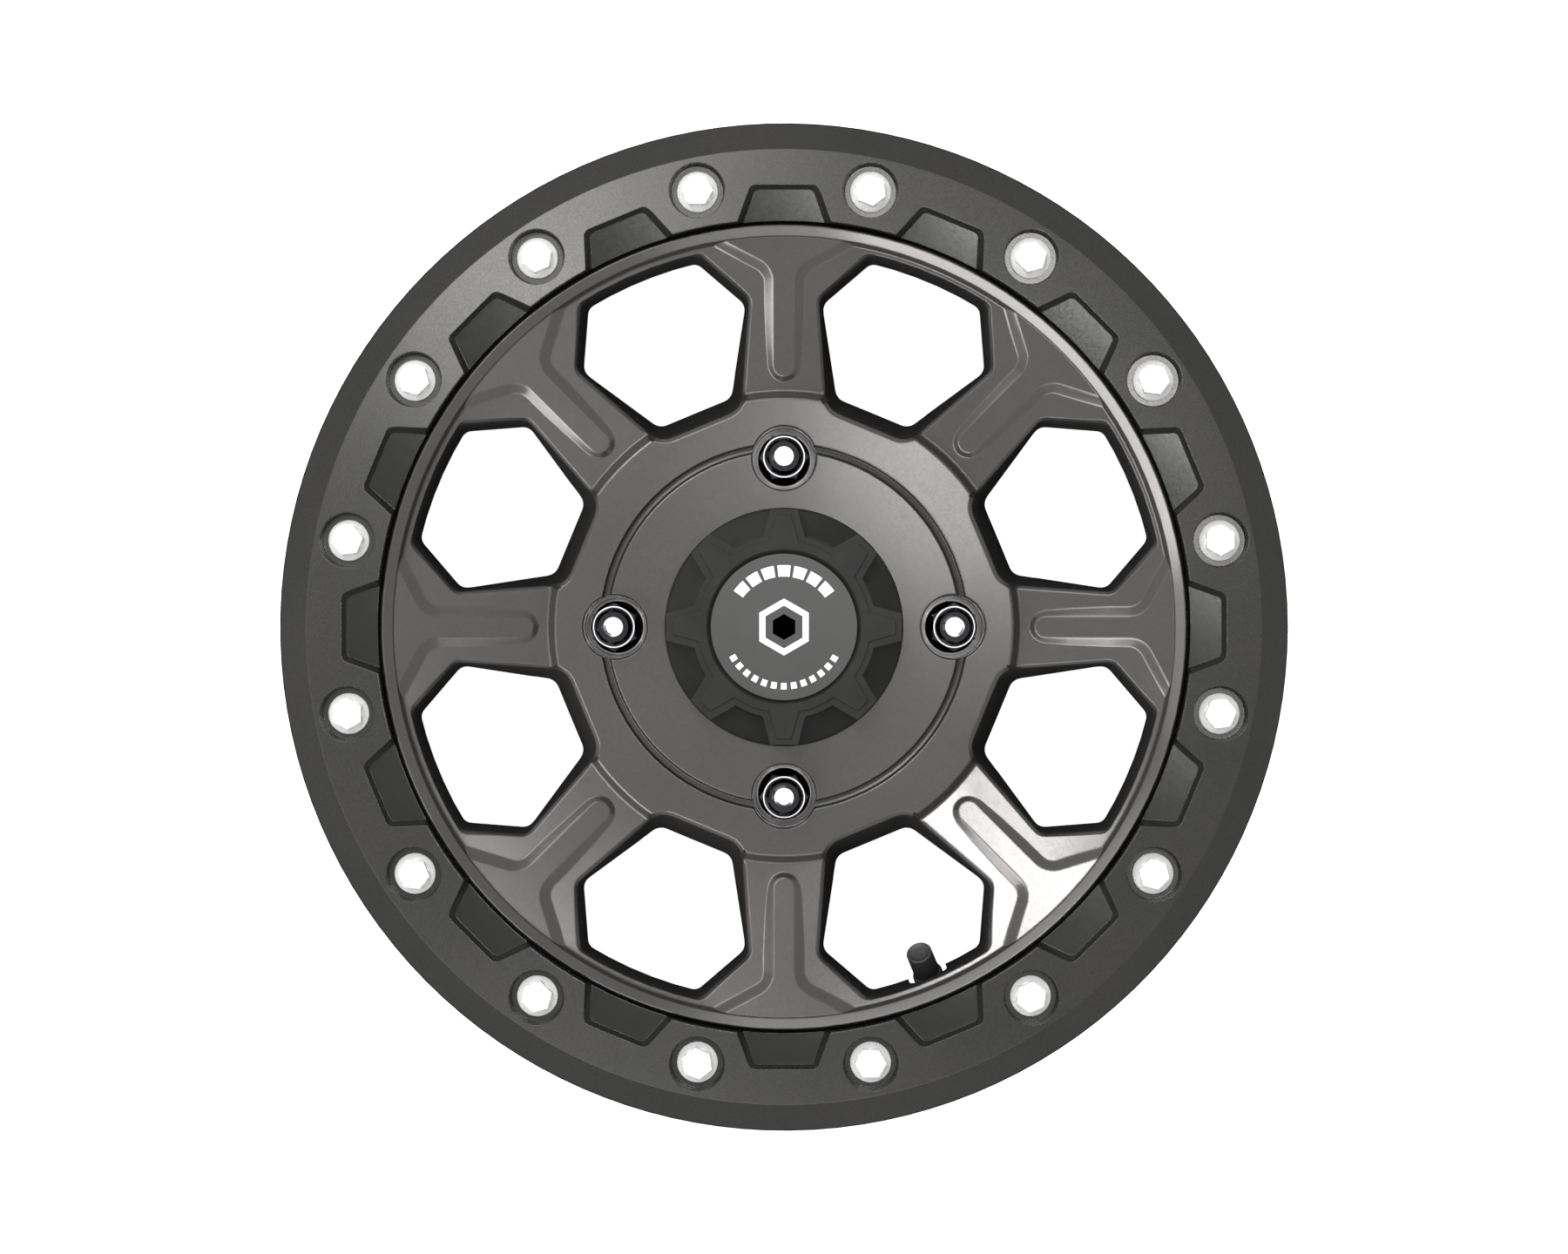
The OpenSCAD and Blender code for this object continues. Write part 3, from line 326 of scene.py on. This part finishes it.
# The ring's pocket floors take the second material, a painted shade
for face in ring.data.polygons:
    inward = -face.normal.dot(face.center.xy.to_3d().normalized())
    if face.normal.z > NEARLY_FLAT and POCKET_FALL[0] < inward < POCKET_FALL[1]:
        face.material_index = 1
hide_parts("beadlock_ring")
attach(ring, "root")


# Plain marks printed on the cap's disc, in the places of its print
disc_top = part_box("cap_disc")[1].z
INK = 0.05 * MM


def printed_block(name, inner, outer, middle_deg, span_deg):
    """One block of an arc: a small face that is spun about the axis and given the ink's thickness."""
    start = math.radians(90 - middle_deg - span_deg / 2)
    bpy.ops.mesh.primitive_plane_add(size=1, location=(0, 0, 0))
    block = bpy.context.object
    block.name = name
    bpy.ops.object.mode_set(mode="EDIT")
    bpy.ops.mesh.select_all(action="SELECT")
    bpy.ops.mesh.merge(type="CENTER")
    bpy.ops.transform.translate(value=(inner * math.cos(start), inner * math.sin(start), disc_top))
    step = (outer - inner) * Vector((math.cos(start), math.sin(start), 0))
    bpy.ops.mesh.extrude_region_move(TRANSFORM_OT_translate={"value": step})
    bpy.ops.mesh.select_all(action="SELECT")
    bpy.ops.mesh.spin(
        steps=max(2, round(span_deg / 3)), angle=-math.radians(span_deg), center=(0, 0, 0), axis=(0, 0, 1)
    )
    bpy.ops.mesh.select_all(action="SELECT")
    bpy.ops.mesh.remove_doubles(threshold=0.001 * MM)
    bpy.ops.object.mode_set(mode="OBJECT")
    return block


def finish_print(piece):
    """Gives a flat print its thickness, above the disc."""
    only(piece)
    bpy.ops.object.mode_set(mode="EDIT")
    bpy.ops.mesh.select_all(action="SELECT")
    bpy.ops.mesh.normals_make_consistent(inside=False)
    bpy.ops.object.mode_set(mode="OBJECT")
    if sum(face.normal.z for face in piece.data.polygons) < 0:
        bpy.ops.object.mode_set(mode="EDIT")
        bpy.ops.mesh.select_all(action="SELECT")
        bpy.ops.mesh.flip_normals()
        bpy.ops.object.mode_set(mode="OBJECT")
    film = piece.modifiers.new("film", "SOLIDIFY")
    film.thickness = INK
    film.offset = 1
    bpy.ops.object.modifier_apply(modifier=film.name)
    piece.data.materials.clear()
    piece.data.materials.append(white_ink)
    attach(piece, "root")


def joined(pieces, name):
    """Joins flat pieces into one print."""
    bpy.ops.object.select_all(action="DESELECT")
    for piece in pieces:
        piece.select_set(True)
    bpy.context.view_layer.objects.active = pieces[0]
    bpy.ops.object.join()
    pieces[0].name = name
    return pieces[0]


# A bold arc above, a fine arc below
bold = [printed_block(f"bold_{i}", 20.2 * MM, 24.8 * MM, -48 + 16 * i, 12.5) for i in range(7)]
finish_print(joined(bold, "print_upper_arc"))
fine = [printed_block(f"fine_{i}", 22.4 * MM, 25 * MM, 122 + 9.7 * i, 5.6) for i in range(13)]
finish_print(joined(fine, "print_lower_arc"))


def hexagon_ring(name, outer, inner):
    """A flat hexagon with an inset hexagon cut out of it."""
    bpy.ops.mesh.primitive_circle_add(vertices=6, radius=outer, fill_type="NGON", location=(0, 0, 0))
    shape = bpy.context.object
    shape.name = name
    bpy.ops.object.mode_set(mode="EDIT")
    bpy.ops.mesh.select_all(action="SELECT")
    bpy.ops.transform.translate(value=(0, 0, disc_top))
    if inner:
        bpy.ops.mesh.inset(thickness=(outer - inner) * math.cos(math.radians(30)), depth=0)
        bpy.ops.mesh.delete(type="FACE")
    bpy.ops.object.mode_set(mode="OBJECT")
    return shape


hexagons = [hexagon_ring("hex_out", 11.4 * MM, 8.6 * MM), hexagon_ring("hex_in", 5.2 * MM, 0)]
finish_print(joined(hexagons, "print_hexagon"))


# Floor, and the studio's light
def flat_material(name, colour, glow):
    """A plain matt paint for the floor, which is not part of the object."""
    made = bpy.data.materials.new(name)
    made.use_nodes = True
    shader = made.node_tree.nodes["Principled BSDF"]
    shader.inputs["Base Color"].default_value = linear(colour)
    shader.inputs["Roughness"].default_value = 0.9
    shader.inputs["Emission Color"].default_value = (1, 1, 1, 1)
    shader.inputs["Emission Strength"].default_value = glow
    return made


# The pale floor glows so that it is white in the picture, and the wheel neither mirrors it nor is lit by it.
# Below it lies a dark one, which the wheel sees in its place
FLOOR_SIZE = 8
bpy.ops.mesh.primitive_plane_add(size=FLOOR_SIZE, location=(0, 0, 0))
floor = bpy.context.object
floor.name = "pale_floor"
floor.data.materials.append(flat_material("pale_floor_paint", "#d8d8d8", 0.97))
floor.visible_glossy = False
floor.visible_diffuse = False

bpy.ops.mesh.primitive_plane_add(size=FLOOR_SIZE, location=(0, 0, -2 * MM))
underlay = bpy.context.object
underlay.name = "floor_underlay"
underlay.data.materials.append(flat_material("underlay_paint", "#3a3a3a", 0.0))

world = bpy.data.worlds.new("studio")
bpy.context.scene.world = world
world.use_nodes = True
world.node_tree.nodes["Background"].inputs["Color"].default_value = (1, 1, 1, 1)
world.node_tree.nodes["Background"].inputs["Strength"].default_value = 1.0


# What the softboxes face, in metres: a point on the axis, just under the wheel's front
FACE_CENTRE = Vector((0, 0, 0.19))


def softbox(name, azimuth, zenith, distance, wide, high, power):
    """An elliptical softbox that faces the wheel, wide along the rim.

    Azimuth runs clockwise from the picture's top and zenith from the axis, in degrees. Distance, width and
    height are in metres and power is in watts.
    """
    turn, tilt = math.radians(azimuth), math.radians(zenith)
    way = Vector((math.sin(tilt) * math.sin(turn), math.sin(tilt) * math.cos(turn), math.cos(tilt)))
    bpy.ops.object.light_add(type="AREA", location=FACE_CENTRE + distance * way)
    lamp = bpy.context.object
    lamp.name = name
    lamp.data.shape = "ELLIPSE"
    lamp.data.size = wide
    lamp.data.size_y = high
    lamp.data.energy = power
    lamp.rotation_euler = (tilt, 0, math.pi - turn)
    lamp.visible_camera = False
    return lamp


def only_on(name, pieces):
    """A group of the pieces that a flagged light reaches."""
    group = bpy.data.collections.new(name)
    for piece in pieces:
        group.objects.link(piece)
    return group


# These light the whole wheel
softbox("key_upper_left", 322, 19, 4.0, 0.7, 0.7, 34)
softbox("beside_camera", 45, 9, 1.42, 0.25, 0.25, 1.5)
softbox("side_left", 268, 50, 1.5, 0.8, 0.8, 3)
softbox("side_upper_left", 333, 46, 1.5, 1.8, 0.7, 9.6)
softbox("high_upper_left", 338, 33, 1.5, 1.0, 0.4, 5)

# These are flagged, so that each reaches one piece, or the pieces of one kind, alone
on_casting = only_on("lit_casting", [casting])
on_ring = only_on("lit_ring", [ring])
on_nuts = only_on("lit_nuts", [nodes[name] for name in NUTS])
on_bolts = only_on("lit_bolts", [nodes[name] for name in BOLTS])
for lamp, group in (
    (softbox("side_lower_left", 225, 52, 1.5, 1.7, 0.6, 24), on_casting),
    (softbox("side_bottom", 180, 50, 1.5, 0.8, 0.8, 3), on_casting),
    (softbox("high_lower_right", 150, 22, 4.0, 1.2, 1.2, 3), on_casting),
    (softbox("ring_low", 200, 39, 1.5, 3.0, 0.5, 16), on_ring),
    (softbox("ring_fill", 44, 10, 1.42, 0.3, 0.3, 9), on_ring),
    (softbox("bolt_top", 225, 12, 1.42, 1.2, 1.2, 7), on_bolts),
    (softbox("nut_dome", 10, 3, 1.42, 3.0, 3.0, 700), on_nuts),
):
    lamp.light_linking.receiver_collection = group
